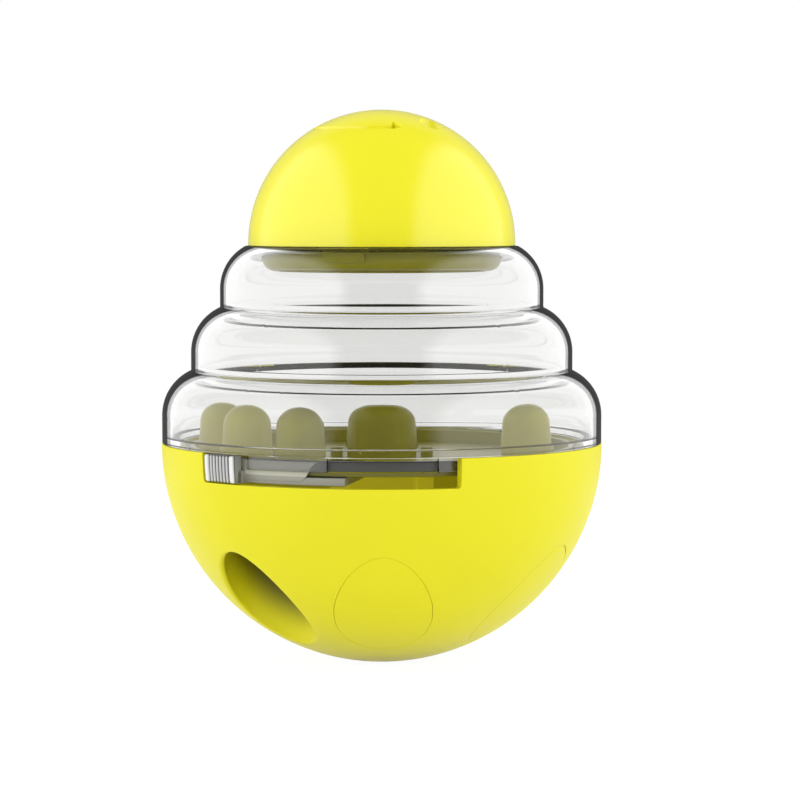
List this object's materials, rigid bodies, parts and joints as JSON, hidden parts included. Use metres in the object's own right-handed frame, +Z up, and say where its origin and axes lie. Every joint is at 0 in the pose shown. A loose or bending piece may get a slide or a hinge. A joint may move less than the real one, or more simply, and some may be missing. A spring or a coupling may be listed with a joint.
{
  "type": "treat dispensing ball",
  "caption": "Self-righting treat ball with a weighted round base, a clear stepped chamber over a pegged tray, a sliding gate, a round outlet and a domed twist cap.",
  "frame": {"origin": "middle of the flat foot under the base", "axes": "+Z up the ball's axis, -Y toward the window in the rim, the open outlet at the left of it"},
  "size_m": [0.1, 0.0999, 0.125],
  "materials": {
    "base_plastic": "glossy moulded yellow",
    "plug_plastic": "glossy moulded yellow",
    "cap_plastic": "glossy moulded yellow",
    "inner_plastic": "satin moulded yellow",
    "gate_plastic": "satin grey",
    "clear_plastic": "clear polished plastic",
    "seal_rubber": "matt soft",
    "weight_steel": "turned and zinc plated",
    "screw_steel": "zinc plated"
  },
  "bodies": {
    "base": {"base_shell": "base_plastic", "outlet_plug_front": "plug_plastic", "outlet_plug_right": "plug_plastic", "ballast_weight": "weight_steel", "ballast_cover": "inner_plastic", "cover_screws": "screw_steel", "treat_tray": "inner_plastic", "centre_post": "inner_plastic", "post_screw": "screw_steel"},
    "shutter": {"shutter_gate": "gate_plastic"},
    "chamber": {"clear_shell": "clear_plastic"},
    "seal": {"cap_seal": "seal_rubber"},
    "cap": {"cap_dome": "cap_plastic", "cap_liner": "inner_plastic", "cap_screws": "screw_steel"}
  },
  "joints": [
    {"name": "shutter_turn", "type": "hinge", "parent": "base", "child": "shutter", "pos_m": [0, 0, 0.0465], "axis": [0, 0, 1], "range_deg": [0, 59.5]},
    {"name": "chamber_lift", "type": "slide", "parent": "base", "child": "chamber", "axis": [0, 0, 1], "range_m": [0, 0.03]},
    {"name": "cap_lift", "type": "slide", "parent": "chamber", "child": "seal", "axis": [0, 0, 1], "range_m": [0, 0.02]},
    {"name": "cap_turn", "type": "hinge", "parent": "seal", "child": "cap", "pos_m": [0, 0, 0.0947], "axis": [0, 0, 1], "range_deg": [-30, 0]}
  ]
}
